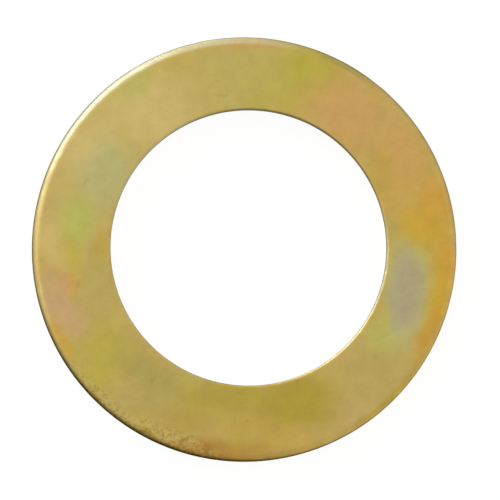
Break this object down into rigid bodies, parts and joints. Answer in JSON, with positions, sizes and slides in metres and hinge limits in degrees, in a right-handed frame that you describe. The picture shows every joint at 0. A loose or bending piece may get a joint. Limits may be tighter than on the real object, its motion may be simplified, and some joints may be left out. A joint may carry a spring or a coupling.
{
  "type": "flat washer",
  "caption": "Round flat plain washer in plated steel, with rolled upper edges and a plain bore for a bolt; spreads the load under a bolt head or nut.",
  "frame": {"origin": "centre of the disc's outline, on its lower face, the face with the sharper edges", "axes": "+Z is the washer's axis, from the lower face up to the face with the rolled edges; +X and +Y lie in the lower face, and the bore's centre is 0.40 mm along +X and 0.15 mm along +Y from the origin"},
  "size_m": [0.0386, 0.0386, 0.004],
  "materials": {
    "yellow_zinc": "steel, zinc plated and yellow passivated: satin gold with soft patches of green, pink, orange and grey-violet"
  },
  "bodies": {
    "root": {"flat_washer": "yellow_zinc"}
  },
  "joints": []
}
